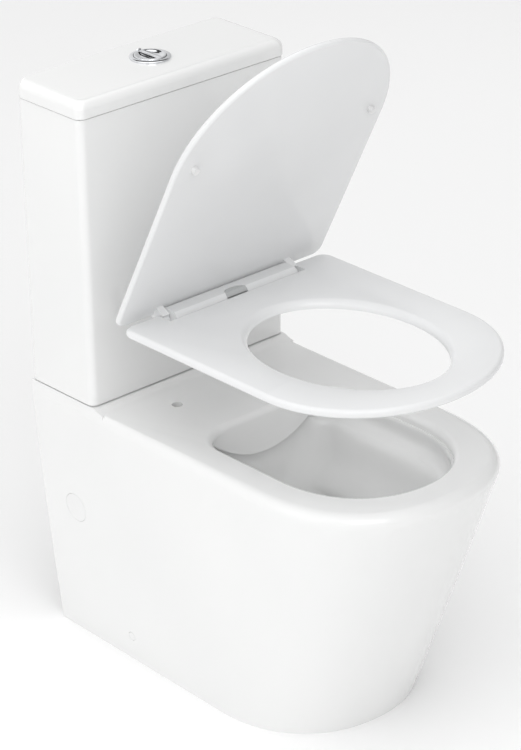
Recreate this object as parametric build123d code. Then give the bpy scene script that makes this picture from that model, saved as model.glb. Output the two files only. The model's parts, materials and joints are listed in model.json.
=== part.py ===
from build123d import *
import math
import os

# A close coupled toilet: a back-to-wall pan, a cistern bolted on its rear ledge, and a
# quick-release seat unit that is stored lifted off the pan with its lid part open.
# Millimetres, +Z up, the front faces -Y. The origin is on the floor, on the centre plane,
# halfway between the wall face and the front of the seat.

# ---- driving dimensions -------------------------------------------------------------
OVERALL_DEPTH = 634.0       # wall face to the front of the seat
WALL_Y = OVERALL_DEPTH / 2  # the rear of the pan and cistern stand on this plane

# pan
SEAT_PAST_RIM = 4.0         # the seat stands this far in front of the rim
RIM_HEIGHT = 380.0
PAN_HALF = 178.0            # half width at the rim
PAN_HALF_WALL = 173.5       # half width at the rim, at the wall
BASE_HALF = 146.5           # half width at the floor
BASE_HALF_WALL = 135.5      # half width at the floor, at the wall
BASE_SETBACK = 131.0        # the front of the base behind the front of the rim
RIM_CURVE = 183.0           # length of the rounded front of the rim
BASE_CURVE = 148.0          # length of the rounded front of the base
SIDE_BULGE = 3.0            # how far the sides stand out at mid height
RIM_ROUND = 15.0            # radius of the rim's outer edge
RIM_ROUND_WALL = 4.0        # the same edge where it meets the cistern
RIM_FULLNESS = 0.64         # handle lengths of the curves, as shares of their box
BASE_FULLNESS = 0.61
PAN_WALL = 11.0             # thickness of the side walls
DECK = 18.0                 # thickness of the deck and the rim
LEDGE_RISE = 5.0            # the cistern ledge above the deck
LEDGE_FILLET = 18.0         # length of the slope from the ledge down to the deck

# bowl
OPENING_HALF = 123.5
RIM_FRONT = 54.0            # width of the rim at the front
OPENING_REAR = 280.0        # wall face to the rear edge of the opening
OPENING_CORNER = 50.0
OPENING_ROUND = 9.0         # radius of the opening's upper edge
POCKET_ROOF = 11.5          # thickness of the deck over the water channel pocket
OPENING_CURVE = 135.0       # length of the rounded front of the opening
CHANNEL_GAP = 20.0          # depth of the water channel pocket behind the curtain
CURTAIN = 9.0               # thickness of the water curtain wall
CURTAIN_DROP = 61.0         # the curtain's lowest point below the rim
CURTAIN_HALF = 118.0
BOWL_WALL = 9.0
SUMP_FLOOR = 110.0
TRAP_R = 37.0
TRAP_WALL = 9.0
TRAP_BEND = 47.0            # bend radius of the trapway's centre line
TRAP_RISE_FROM_WALL = 217.0 # wall face to the rising leg of the trap
OUTLET_HEIGHT = 180.0       # floor to the centre of the waste outlet
OUTLET_R = 51.0
OUTLET_SPIGOT = 45.0
OUTLET_BACK = 12.0          # the spigot's end stands this far off the wall

# cistern
TANK_DEPTH = 128.0
TANK_HALF_TOP = 179.0
TANK_HALF_BOTTOM = 173.5
TANK_HEIGHT = 406.0
TANK_WALL = 10.0
TANK_FLOOR = 14.0
TANK_CORNER = 11.0
TANK_GAP = 2.0              # thickness of the pad under the cistern
WALL_TRIM = 0.6             # cut off the cistern's back to leave it flat
LID_THICKNESS = 24.5        # visible height of the cistern lid
LID_GAP = 1.5               # shadow gap between cistern and lid
LID_OVERHANG = 1.5
LID_ROUND = 13.0
LID_PLATE = 12.0
LID_FIT = 2.0               # the lid's locating rib inside the cistern wall
LID_RIB = 6.0

# flush valve and buttons
VALVE_FROM_WALL = 60.0      # wall face to the axis of the flush valve
TAIL_R = 29.5
TAIL_BORE_R = 25.0
TAIL_CLEAR = 1.5
GASKET_R = 48.0
GASKET_POCKET_R = 50.0
GASKET_DEPTH = 24.0
OVERFLOW_R = 13.0
OVERFLOW_TOP = 700.0
RUNNING = 0.3               # radial clearance of loose sliding parts
BEZEL_R = 28.0
BEZEL_TUBE_R = 24.0
BUTTON_R = 21.8
BUTTON_TRAVEL = 7.0
BUTTON_SPLIT = 0.8
BEZEL_RISE = 3.5

# fill valve
INLET_R = 10.4              # G1/2 thread
INLET_LENGTH = 46.0         # thread below the cistern
INLET_HOLE_R = 21.0         # the ledge's hole round the inlet's nut
FILL_X = 132.0
FLOAT_X = 84.0
RISER_R = 8.0

# cistern bolts
BOLT_SPACING = 144.0
BOLT_R = 4.0
BOLT_FROM_WALL = 55.0

# fixings of the pan
CAP_R = 21.0                # round side access covers
CAP_FROM_WALL = 68.0
CAP_HEIGHT = 209.0
SCREW_R = 6.5               # small side screw holes
SCREW_FROM_WALL = 160.0
SCREW_HEIGHT = 38.5
COVER_CLEAR = 0.35

# seat unit
HOLE_SPACING = 155.0
HOLE_R = 7.5
HOLES_FROM_WALL = 188.0
AXIS_FROM_WALL = 208.0      # wall face to the hinge axis
SEAT_LIFT = 132.0           # the seat unit stands this far above its seated place
SEAT_REST_GAP = 0.3
BUFFER = 5.0                # height of the ring's buffers
RING_THICKNESS = 12.0
AXIS_IN_RING = 3.0          # hinge axis above the ring's underside
RING_HALF = 180.5
RING_CURVE = 162.0
RING_FULLNESS = 0.57
RING_CORNER = 14.0
RING_EDGE = 5.0
RING_REAR = 6.5             # the ring's rear edge behind the hinge axis
RING_HOLE_HALF = 115.0
RING_HOLE_LENGTH = 289.0
RING_HOLE_BEVEL = 9.0
RING_FRONT = 54.0           # width of the ring at the front
LID_HALF = 182.0
LID_PAST_RING = 8.0         # the lid's front in front of the ring's when both are down
LID_TAIL = 4.0              # the lid's rear edge behind the hinge axis
LID_NOTCH = 3.5             # its notch over the hinge bar ends in front of the axis
LID_CURVE = 170.0
SEAT_LID_THICKNESS = 9.0
SEAT_LID_EDGE = 4.0
SEAT_LID_GAP = 7.0          # ring to lid when both are down
LID_ANGLE = 63.5            # the lid stands this far open from the ring
LUG_WIDTH = 11.7
LUG_X = 108.0               # inner face of each lid lug
LUG_CLEAR = 0.7
LUG_R = 7.0
BAR_FRONT = 20.0            # the hinge bar in front of the axis
BAR_REAR = 12.0
BAR_TOP = 15.0
BAR_BOTTOM = 7.8
BAR_ROUND = 8.0             # radius of its upper rear edge
SHAFT_R = 3.5
SHAFT_RUNNING = 0.05
DAMPER_R = 5.7
DAMPER_LENGTH = 62.0
RELEASE_HALF = 18.0         # half width of the release button at its front
RELEASE_REAR_HALF = 11.0
RELEASE_DEPTH = 12.5
RELEASE_SLIT = 3.0          # slit in front of the button
RELEASE_TRAVEL = 3.0
RELEASE_CLEAR = 0.4
POST_R = 5.5
POST_FLANGE_R = 10.5
POST_LENGTH = 50.0          # stud below the deck

# ---- worked-out levels --------------------------------------------------------------
RIM_FRONT_Y = WALL_Y - OVERALL_DEPTH + SEAT_PAST_RIM
BASE_FRONT_Y = RIM_FRONT_Y + BASE_SETBACK
OPENING_FRONT_Y = RIM_FRONT_Y + RIM_FRONT
OPENING_REAR_Y = WALL_Y - OPENING_REAR
LEDGE_Z = RIM_HEIGHT + LEDGE_RISE
HOLLOW_TOP = RIM_HEIGHT - DECK
TANK_FRONT_Y = WALL_Y - TANK_DEPTH
TANK_MID_Y = WALL_Y - TANK_DEPTH / 2
TANK_Z = LEDGE_Z + TANK_GAP
TANK_TOP = TANK_Z + TANK_HEIGHT
TANK_INSIDE_Z = TANK_Z + TANK_FLOOR
LID_Z = TANK_TOP + LID_GAP
LID_TOP = LID_Z + LID_THICKNESS - LID_GAP
PLATE_UNDER = LID_TOP - LID_PLATE
VALVE_Y = WALL_Y - VALVE_FROM_WALL
BOLT_Y = WALL_Y - BOLT_FROM_WALL
HOLES_Y = WALL_Y - HOLES_FROM_WALL
AXIS_Y = WALL_Y - AXIS_FROM_WALL
RING_FRONT_Y = AXIS_FROM_WALL - OVERALL_DEPTH      # seen from the hinge axis
LID_FRONT_Y = RING_FRONT_Y - LID_PAST_RING
AXIS_Z = RIM_HEIGHT + SEAT_REST_GAP + BUFFER + AXIS_IN_RING + SEAT_LIFT
RING_TOP = RING_THICKNESS - AXIS_IN_RING
LID_UNDER = RING_TOP + SEAT_LID_GAP
BIG = 2000.0


# ---- shared shapes ------------------------------------------------------------------
def cyl(r, z0, z1, x=0.0, y=0.0):
    """Upright cylinder from z0 to z1."""
    return Pos(x, y, z0) * Cylinder(r, z1 - z0, align=(Align.CENTER, Align.CENTER, Align.MIN))


def tube(r, bore, z0, z1, x=0.0, y=0.0):
    """Upright tube from z0 to z1."""
    return cyl(r, z0, z1, x, y) - cyl(bore, z0 - 1, z1 + 1, x, y)


def rod_x(r, x0, x1, y, z):
    """Cylinder along X from x0 to x1."""
    length = x1 - x0
    return Pos(x0, y, z) * Rot(0, 90, 0) * Cylinder(r, length, align=(Align.CENTER, Align.CENTER, Align.MIN))


def block(x0, x1, y0, y1, z0, z1):
    """Box between two corners."""
    return Pos((x0 + x1) / 2, (y0 + y1) / 2, (z0 + z1) / 2) * Box(x1 - x0, y1 - y0, z1 - z0)


def both_sides(shape):
    """A shape and its mirror image in the centre plane."""
    return shape + mirror(shape, about=Plane.YZ)


def hexagon(across, z0, z1, x=0.0, y=0.0):
    """Upright hexagonal prism, given its size across flats."""
    face = RegularPolygon(across / 2, 6, major_radius=False)
    return Pos(x, y, z0) * extrude(face, z1 - z0)


def d_face(z, half, half_rear, rear_y, front_y, curve, fullness):
    """A D outline: a straight rear edge, near-straight sides and a rounded front."""
    side_y = front_y + curve
    hx = half * fullness
    hy = curve * fullness
    left = Bezier((-half, side_y), (-half, side_y - hy), (-hx, front_y), (0, front_y))
    right = Bezier((0, front_y), (hx, front_y), (half, side_y - hy), (half, side_y))
    lines = [
        Line((-half_rear, rear_y), (-half, side_y)),
        left,
        right,
        Line((half, side_y), (half_rear, rear_y)),
        Line((half_rear, rear_y), (-half_rear, rear_y)),
    ]
    return Pos(0, 0, z) * make_face(Curve() + lines)


def pouch_face(z, half, rear_y, front_y, curve, corner, fullness=0.6):
    """A D outline with rounded rear corners, used inside the bowl."""
    side_y = front_y + curve
    hx = half * fullness
    hy = curve * fullness
    k = corner * 0.55
    c = corner
    lines = [
        Line((-half + c, rear_y), (half - c, rear_y)),
        Bezier((half - c, rear_y), (half - c + k, rear_y), (half, rear_y - c + k), (half, rear_y - c)),
        Line((half, rear_y - c), (half, side_y)),
        Bezier((half, side_y), (half, side_y - hy), (hx, front_y), (0, front_y)),
        Bezier((0, front_y), (-hx, front_y), (-half, side_y - hy), (-half, side_y)),
        Line((-half, side_y), (-half, rear_y - c)),
        Bezier((-half, rear_y - c), (-half, rear_y - c + k), (-half + c - k, rear_y), (-half + c, rear_y)),
    ]
    return Pos(0, 0, z) * make_face(Curve() + lines)


# ---- pan ----------------------------------------------------------------------------
def pan_section(z, inset=0.0, rear_y=WALL_Y):
    """The pan's outline at one height, between the base's and the rim's outlines."""
    t = z / RIM_HEIGHT
    bulge = SIDE_BULGE * 4 * t * (1 - t)
    half = BASE_HALF + (PAN_HALF - BASE_HALF) * t + bulge - inset
    half_wall = BASE_HALF_WALL + (PAN_HALF_WALL - BASE_HALF_WALL) * t + bulge - inset
    front = BASE_FRONT_Y + (RIM_FRONT_Y - BASE_FRONT_Y) * t - bulge + inset
    curve = BASE_CURVE + (RIM_CURVE - BASE_CURVE) * t - inset * 0.4
    fullness = BASE_FULLNESS + (RIM_FULLNESS - BASE_FULLNESS) * t
    return d_face(z, half, half_wall, rear_y, front, curve, fullness)


def rim_section(angle):
    """The pan's outline on the rounded upper edge, at an angle up the quarter circle."""
    gone = 1 - math.cos(math.radians(angle))
    z = RIM_HEIGHT - RIM_ROUND + RIM_ROUND * math.sin(math.radians(angle))
    inset = RIM_ROUND * gone
    inset_wall = RIM_ROUND_WALL * gone
    return d_face(
        z, PAN_HALF - inset, PAN_HALF_WALL - inset_wall, WALL_Y,
        RIM_FRONT_Y + inset, RIM_CURVE - inset * 0.6, RIM_FULLNESS,
    )


def pan_skirt():
    """The pan's outer form up to the deck, solid."""
    low = RIM_HEIGHT - RIM_ROUND
    body = loft([pan_section(0), pan_section(low / 2), rim_section(0)])
    return body + loft([rim_section(a) for a in (0, 30, 60, 90)])


def cistern_ledge():
    """The raised ledge under the cistern, with its curved slope down to the deck."""
    z0 = RIM_HEIGHT - RIM_ROUND
    y0 = TANK_FRONT_Y - LEDGE_FILLET - 1
    plan = make_face(Polyline(
        (-PAN_HALF_WALL, WALL_Y), (PAN_HALF_WALL, WALL_Y),
        (PAN_HALF_WALL, y0), (-PAN_HALF_WALL, y0), close=True,
    ))
    solid = Pos(0, 0, z0) * extrude(plan, LEDGE_Z - z0)
    y1 = TANK_FRONT_Y - 1
    k = LEDGE_FILLET / 2
    slope = Bezier(
        (y1 - LEDGE_FILLET, RIM_HEIGHT), (y1 - k, RIM_HEIGHT),
        (y1 - k / 2, LEDGE_Z), (y1, LEDGE_Z),
    )
    over = Polyline((y1, LEDGE_Z), (y1, LEDGE_Z + 9), (y0 - 9, LEDGE_Z + 9), (y0 - 9, RIM_HEIGHT))
    floor = Line((y0 - 9, RIM_HEIGHT), (y1 - LEDGE_FILLET, RIM_HEIGHT))
    waste = extrude(Plane.YZ * make_face(Curve() + [slope, over, floor]), PAN_HALF + 9, both=True)
    return solid - waste


BOWL_REAR = OPENING_REAR - CHANNEL_GAP
BOWL_SECTIONS = [
    # height, half width, rear edge from the wall, front edge behind the opening's, curve, corner
    (RIM_HEIGHT - POCKET_ROOF, OPENING_HALF, BOWL_REAR, 0.0, 135.0, 46.0),
    (RIM_HEIGHT - 30, OPENING_HALF, BOWL_REAR, 0.0, 135.0, 46.0),
    (RIM_HEIGHT - 40, OPENING_HALF - 1.5, BOWL_REAR, 1.5, 134.0, 46.0),
    (RIM_HEIGHT - 45, OPENING_HALF - 6, BOWL_REAR, 6.0, 132.0, 44.0),
    (RIM_HEIGHT - 48, OPENING_HALF - 13, BOWL_REAR, 13.0, 128.0, 42.0),
    (RIM_HEIGHT - 53, OPENING_HALF - 17, BOWL_REAR, 17.0, 126.0, 42.0),
    (RIM_HEIGHT - 70, OPENING_HALF - 22, BOWL_REAR + 2, 25.0, 124.0, 44.0),
    (RIM_HEIGHT - 105, 92.0, BOWL_REAR + 6, 47.0, 116.0, 46.0),
    (RIM_HEIGHT - 145, 76.0, BOWL_REAR + 11, 80.0, 100.0, 44.0),
    (RIM_HEIGHT - 195, 54.0, BOWL_REAR + 19, 126.0, 74.0, 36.0),
    (SUMP_FLOOR, 34.0, BOWL_REAR + 28, 190.0, 44.0, 26.0),
]


BOWL_OUTSIDE = (0, 1, 4, 7, 8, 9, 10)   # the sections that the outer side follows


def bowl_face(index, grow):
    """One of the bowl's sections, grown by the wall for the outer side."""
    z, half, rear, front, curve, corner = BOWL_SECTIONS[index]
    return pouch_face(
        z, half + grow, WALL_Y - rear + grow, OPENING_FRONT_Y + front - grow,
        curve + grow * 0.5, corner + grow * 0.5,
    )


def bowl_inside():
    """The bowl's inside: an upper band with its shelf, the bowl, and the sump under water."""
    band = loft([bowl_face(i, 0) for i in (0, 1, 2, 3, 4)])
    bowl = loft([bowl_face(i, 0) for i in (4, 5, 6, 7, 8)])
    sump = loft([bowl_face(i, 0) for i in (8, 9, 10)])
    return band + bowl + sump


def bowl_outside():
    """The outer side of the bowl's wall, with a closed floor under the sump."""
    faces = [bowl_face(i, BOWL_WALL) for i in BOWL_OUTSIDE]
    z, half, rear, front, curve, corner = BOWL_SECTIONS[-1]
    floor = pouch_face(
        z - BOWL_WALL, half + BOWL_WALL - 3, WALL_Y - rear + BOWL_WALL - 3,
        OPENING_FRONT_Y + front - BOWL_WALL + 3, curve, corner,
    )
    return loft(faces + [floor])


def throat():
    """The opening through the rim, with its rounded upper edge."""
    faces = []
    for angle in (0, 30, 60, 90):
        out = OPENING_ROUND * (1 - math.cos(math.radians(angle)))
        z = RIM_HEIGHT - OPENING_ROUND * (1 - math.sin(math.radians(angle)))
        faces.append(pouch_face(
            z, OPENING_HALF + out, OPENING_REAR_Y + out, OPENING_FRONT_Y - out,
            OPENING_CURVE + out * 0.5, OPENING_CORNER + out * 0.5,
        ))
    top = loft(faces)
    straight = extrude(pouch_face(
        RIM_HEIGHT - POCKET_ROOF - 2, OPENING_HALF, OPENING_REAR_Y, OPENING_FRONT_Y,
        OPENING_CURVE, OPENING_CORNER,
    ), POCKET_ROOF + 2.5 - OPENING_ROUND)
    return top + straight


def water_curtain():
    """The wall that hangs under the rear edge of the opening, with its curved lower edge."""
    edge_z = RIM_HEIGHT - 2
    low = RIM_HEIGHT - CURTAIN_DROP
    lines = [
        Bezier((-CURTAIN_HALF, edge_z), (0, 2 * low - edge_z), (CURTAIN_HALF, edge_z)),
        Line((CURTAIN_HALF, edge_z), (CURTAIN_HALF, edge_z + 30)),
        Line((CURTAIN_HALF, edge_z + 30), (-CURTAIN_HALF, edge_z + 30)),
        Line((-CURTAIN_HALF, edge_z + 30), (-CURTAIN_HALF, edge_z)),
    ]
    wall = extrude(Plane.XZ * make_face(Curve() + lines), -CURTAIN)
    return Pos(0, OPENING_REAR_Y, 0) * wall


def trap_path(end):
    """Centre line of the trapway: out of the sump, up, over the weir and down to the outlet."""
    r = TRAP_BEND
    k = r * (1 - math.sqrt(0.5))
    rise = WALL_Y - TRAP_RISE_FROM_WALL
    fall = rise + 2 * r
    low = SUMP_FLOOR + TRAP_R + 3
    turn = OUTLET_HEIGHT + r
    return Curve() + [
        Line((0, OPENING_REAR_Y - 30, low), (0, rise - r, low)),
        ThreePointArc((0, rise - r, low), (0, rise - k, low + k), (0, rise, low + r)),
        Line((0, rise, low + r), (0, rise, turn)),
        ThreePointArc((0, rise, turn), (0, rise + r, turn + r), (0, fall, turn)),
        ThreePointArc((0, fall, turn), (0, fall + k, turn - r + k), (0, fall + r, turn - r)),
        Line((0, fall + r, turn - r), (0, end, turn - r)),
    ]


def trap_solid(extra):
    """The trapway, grown by extra for its wall."""
    end = WALL_Y - OUTLET_BACK - 5 if extra else WALL_Y + 20
    path = trap_path(end)
    start = Plane(origin=(0, OPENING_REAR_Y - 30, SUMP_FLOOR + TRAP_R + 3), z_dir=(0, 1, 0))
    return sweep(start * Circle(TRAP_R + extra), path)


def outlet_spigot():
    """The straight round end of the trapway that a waste connector slides over."""
    y1 = WALL_Y - OUTLET_BACK
    plane = Plane(origin=(0, y1 - OUTLET_SPIGOT, OUTLET_HEIGHT), z_dir=(0, 1, 0))
    return plane * Cylinder(OUTLET_R, OUTLET_SPIGOT, align=(Align.CENTER, Align.CENTER, Align.MIN))


CHANNEL_HALF = 34.0
CHANNEL_TOP = LEDGE_Z - GASKET_DEPTH - 9
CHANNEL_FLOOR = CHANNEL_TOP - 26
CHANNEL_SKIN = 8.0


def flush_channel(extra):
    """The water way from under the cistern to the pocket behind the curtain."""
    y0 = OPENING_REAR_Y + CHANNEL_GAP - 4
    y1 = VALVE_Y + TAIL_R + 6
    top = RIM_HEIGHT - 4 if extra else CHANNEL_TOP
    return block(
        -CHANNEL_HALF - extra, CHANNEL_HALF + extra, y0, y1 + extra,
        CHANNEL_FLOOR - extra, top,
    )


def gasket_pocket_boss():
    """Extra ceramic round the pocket that holds the cistern's sealing ring."""
    return cyl(GASKET_POCKET_R + 9, CHANNEL_TOP - 1, LEDGE_Z - 3, 0, VALVE_Y)


def side_pin(r, from_wall, height):
    """A long cylinder across the pan, for holes and covers on both sides."""
    return rod_x(r, -PAN_HALF - 20, PAN_HALF + 20, WALL_Y - from_wall, height)


def pan_wall_band():
    """The pan's side walls without its inner forms, for the flush side covers."""
    return pan_skirt() - pan_hollow()


def pan_hollow():
    """The space inside the skirt, open to the floor and to the wall."""
    rear = WALL_Y + 40
    grow = (PAN_HALF_WALL - BASE_HALF_WALL) / 12
    return loft([
        pan_section(-grow, PAN_WALL + 3, rear),
        pan_section(HOLLOW_TOP / 2, PAN_WALL, rear),
        pan_section(HOLLOW_TOP, PAN_WALL, rear),
    ])


def make_pan():
    inside = pan_hollow() - bowl_outside() - trap_solid(TRAP_WALL) - outlet_spigot()
    inside = inside - flush_channel(CHANNEL_SKIN) - gasket_pocket_boss()
    pan = pan_skirt() + cistern_ledge() - inside
    pan = pan - (bowl_inside() - water_curtain()) - throat() - trap_solid(0) - flush_channel(0)
    pan = pan - cyl(GASKET_POCKET_R, LEDGE_Z - GASKET_DEPTH, LEDGE_Z + 5, 0, VALVE_Y)
    pan = pan - cyl(TAIL_R + 3, CHANNEL_TOP - 2, LEDGE_Z, 0, VALVE_Y)
    pan = pan - both_sides(cyl(HOLE_R, HOLLOW_TOP - 5, RIM_HEIGHT + 5, HOLE_SPACING / 2, HOLES_Y))
    pan = pan - both_sides(cyl(BOLT_R + 2, HOLLOW_TOP - 5, LEDGE_Z + 5, BOLT_SPACING / 2, BOLT_Y))
    pan = pan - cyl(INLET_HOLE_R, HOLLOW_TOP - 5, LEDGE_Z + 5, FILL_X, VALVE_Y)
    pan = pan - side_pin(CAP_R, CAP_FROM_WALL, CAP_HEIGHT)
    pan = pan + outlet_spigot() - trap_solid(0)
    return pan - side_pin(SCREW_R, SCREW_FROM_WALL, SCREW_HEIGHT)


def make_access_cap(side):
    """A flush round cover in the pan's side."""
    ends = sorted((side * PAN_HALF / 3, side * (PAN_HALF + 30)))
    return pan_wall_band() & rod_x(CAP_R - COVER_CLEAR, *ends, WALL_Y - CAP_FROM_WALL, CAP_HEIGHT)


def make_screw_caps():
    """Small covers over the side screws, set in a little from the surface."""
    inner = pan_skirt() & side_pin(SCREW_R - COVER_CLEAR, SCREW_FROM_WALL, SCREW_HEIGHT)
    left_face = BASE_HALF + (PAN_HALF - BASE_HALF) * SCREW_HEIGHT / RIM_HEIGHT
    depth = 9.0
    keep = block(left_face - depth - 1, left_face - 1.6, -BIG, BIG, 0, RIM_HEIGHT)
    return inner & both_sides(keep)


def make_floor_brackets():
    """Angle brackets screwed to the floor inside the pan, one each side."""
    x1 = BASE_HALF - PAN_WALL - 12
    y = WALL_Y - SCREW_FROM_WALL
    foot = block(x1 - 34, x1, y - 16, y + 16, 0, 3)
    upright = block(x1 - 3, x1, y - 16, y + 16, 0, SCREW_HEIGHT + 16)
    bracket = foot + upright
    bracket -= rod_x(3.3, x1 - 10, x1 + 10, y, SCREW_HEIGHT)
    bracket -= cyl(4.2, -5, 10, x1 - 19, y)
    return both_sides(bracket)


def make_bracket_screws():
    """Side screws that draw the pan to its floor brackets."""
    x1 = BASE_HALF - PAN_WALL - 12
    y = WALL_Y - SCREW_FROM_WALL
    shank = rod_x(3.0, x1 - 14, x1 + 9, y, SCREW_HEIGHT)
    head = rod_x(5.6, x1 + 9, x1 + 12.5, y, SCREW_HEIGHT)
    slot = block(x1 + 11.2, x1 + 13, y - 4.5, y + 4.5, SCREW_HEIGHT - 0.7, SCREW_HEIGHT + 0.7)
    return both_sides(shank + head - slot)


def make_floor_screws():
    """Screws that hold the brackets down; their shanks end at the floor."""
    x = BASE_HALF - PAN_WALL - 12 - 19
    y = WALL_Y - SCREW_FROM_WALL
    screw = cyl(3.8, 0, 3, x, y) + hexagon(13, 3, 9, x, y)
    return both_sides(screw)


# ---- cistern ------------------------------------------------------------------------
def tank_face(z, grow=0.0, corner=TANK_CORNER, past=0.0):
    """The cistern's rounded rectangle at one height; it may run past the wall plane."""
    t = (z - TANK_Z) / TANK_HEIGHT
    half = TANK_HALF_BOTTOM + (TANK_HALF_TOP - TANK_HALF_BOTTOM) * t
    depth = TANK_DEPTH + 2 * grow + past
    return Pos(0, TANK_MID_Y + past / 2, z) * RectangleRounded(2 * (half + grow), depth, corner)


def make_cistern_tank():
    outer = loft([tank_face(TANK_Z, past=WALL_TRIM), tank_face(TANK_TOP, past=WALL_TRIM)])
    outer -= block(-BIG, BIG, WALL_Y, BIG, 0, BIG)
    inner = loft([
        tank_face(TANK_INSIDE_Z, -TANK_WALL, TANK_CORNER - 3),
        tank_face(TANK_TOP + 1, -TANK_WALL, TANK_CORNER - 3),
    ])
    tank = outer - inner - cyl(TAIL_R + TAIL_CLEAR, TANK_Z - 1, TANK_INSIDE_Z + 1, 0, VALVE_Y)
    tank -= both_sides(cyl(BOLT_R + 1.5, TANK_Z - 1, TANK_INSIDE_Z + 1, BOLT_SPACING / 2, BOLT_Y))
    return tank - cyl(INLET_R + 0.8, TANK_Z - 1, TANK_INSIDE_Z + 1, FILL_X, VALVE_Y)


def make_tank_seat_pad():
    """Thin rubber pad between the cistern and the pan's ledge."""
    pad = extrude(tank_face(TANK_Z - TANK_GAP, -9, 6), TANK_GAP)
    pad -= cyl(GASKET_POCKET_R + 2, LEDGE_Z - 1, TANK_Z + 1, 0, VALVE_Y)
    pad -= cyl(INLET_HOLE_R, LEDGE_Z - 1, TANK_Z + 1, FILL_X, VALVE_Y)
    return pad - both_sides(cyl(BOLT_R + 2, LEDGE_Z - 1, TANK_Z + 1, BOLT_SPACING / 2, BOLT_Y))


def lid_face(z, inset=0.0):
    """The cistern lid's outline; its back stays on the wall plane."""
    half = TANK_HALF_TOP + LID_OVERHANG - inset
    front = TANK_FRONT_Y - LID_OVERHANG + inset
    depth = WALL_Y - front
    corner = TANK_CORNER + LID_OVERHANG - inset * 0.3
    return Pos(0, WALL_Y - depth / 2, z) * RectangleRounded(2 * half, depth, corner)


def make_cistern_lid():
    """The ceramic lid: rounded upper edges, a hollow underside and a locating rib."""
    under = LID_Z
    low = LID_TOP - LID_ROUND
    top_faces = []
    for angle in (0, 22.5, 45, 67.5, 90):
        inset = LID_ROUND * (1 - math.cos(math.radians(angle)))
        z = low + LID_ROUND * math.sin(math.radians(angle))
        top_faces.append(lid_face(z, inset))
    lid = extrude(lid_face(under), low - under) + loft(top_faces)
    hollow = extrude(tank_face(TANK_TOP, -TANK_WALL - LID_FIT - LID_RIB, 4), PLATE_UNDER - TANK_TOP)
    lid = lid - hollow
    land = extrude(tank_face(TANK_TOP, -4, TANK_CORNER - 3), LID_GAP)
    rib_z = TANK_TOP - 8
    rib = extrude(tank_face(rib_z, -TANK_WALL - LID_FIT, 6), TANK_TOP + LID_GAP - rib_z)
    void = extrude(tank_face(rib_z - 1, -TANK_WALL - LID_FIT - LID_RIB, 4), PLATE_UNDER - rib_z + 1)
    lid = lid + (land + rib - void)
    return lid - cyl(BEZEL_TUBE_R + 0.8, rib_z, LID_TOP + 1, 0, VALVE_Y)


def make_close_coupling_gasket():
    """Thick rubber ring that seals the cistern outlet into the pan."""
    z0 = LEDGE_Z - GASKET_DEPTH
    ring = tube(GASKET_R, TAIL_R + 2, z0, TANK_Z, 0, VALVE_Y)
    return ring - cyl(42.5, TANK_Z - 11.5, TANK_Z + 1, 0, VALVE_Y)


def make_cistern_bolts():
    bolt = cyl(BOLT_R, LEDGE_Z - 62, TANK_INSIDE_Z + 3, BOLT_SPACING / 2, BOLT_Y)
    head = hexagon(16, TANK_INSIDE_Z + 3, TANK_INSIDE_Z + 9, BOLT_SPACING / 2, BOLT_Y)
    return both_sides(bolt + head)


def make_bolt_seals():
    """Rubber washers under the bolt heads, inside the cistern."""
    return both_sides(tube(13, BOLT_R + 0.05, TANK_INSIDE_Z, TANK_INSIDE_Z + 3, BOLT_SPACING / 2, BOLT_Y))


def make_plate_washers():
    """Steel washers under the pan's ledge."""
    return both_sides(tube(12, BOLT_R + 0.4, HOLLOW_TOP - 2, HOLLOW_TOP, BOLT_SPACING / 2, BOLT_Y))


def make_wing_nuts():
    """Wing nuts that clamp the cistern down from under the ledge."""
    x = BOLT_SPACING / 2
    z1 = HOLLOW_TOP - 2
    hub = cyl(8, z1 - 10, z1, x, BOLT_Y)
    wings = block(x - 1.5, x + 1.5, BOLT_Y - 17, BOLT_Y + 17, z1 - 17, z1 - 3)
    return both_sides(hub + wings - cyl(BOLT_R + 0.05, z1 - 20, z1 + 1, x, BOLT_Y))


# ---- flush valve --------------------------------------------------------------------
WASHER = 3.0
BASE_TOP = TANK_INSIDE_Z + WASHER + 6
SLEEVE_Z = BASE_TOP + 58
SLEEVE_TOP = 640.0
GUIDE_X = 22.0
PAD_Z = 744.0


def make_valve_washer():
    return tube(38, TAIL_R + 0.3, TANK_INSIDE_Z, TANK_INSIDE_Z + WASHER, 0, VALVE_Y)


def make_valve_base():
    """The threaded tail through the cistern floor, with the flange and the seat above it."""
    z_low = LEDGE_Z - GASKET_DEPTH + 2
    tail = cyl(TAIL_R, z_low, TANK_INSIDE_Z + WASHER, 0, VALVE_Y)
    flange = cyl(40, TANK_INSIDE_Z + WASHER, BASE_TOP, 0, VALVE_Y)
    return tail + flange - cyl(TAIL_BORE_R, z_low - 1, BASE_TOP + 1, 0, VALVE_Y)


def make_valve_backnut():
    """The large nut under the cistern, inside the sealing ring."""
    nut = hexagon(72, TANK_Z - 10, TANK_Z, 0, VALVE_Y)
    return nut - cyl(TAIL_R + 0.05, TANK_Z - 11, TANK_Z + 1, 0, VALVE_Y)


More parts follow.
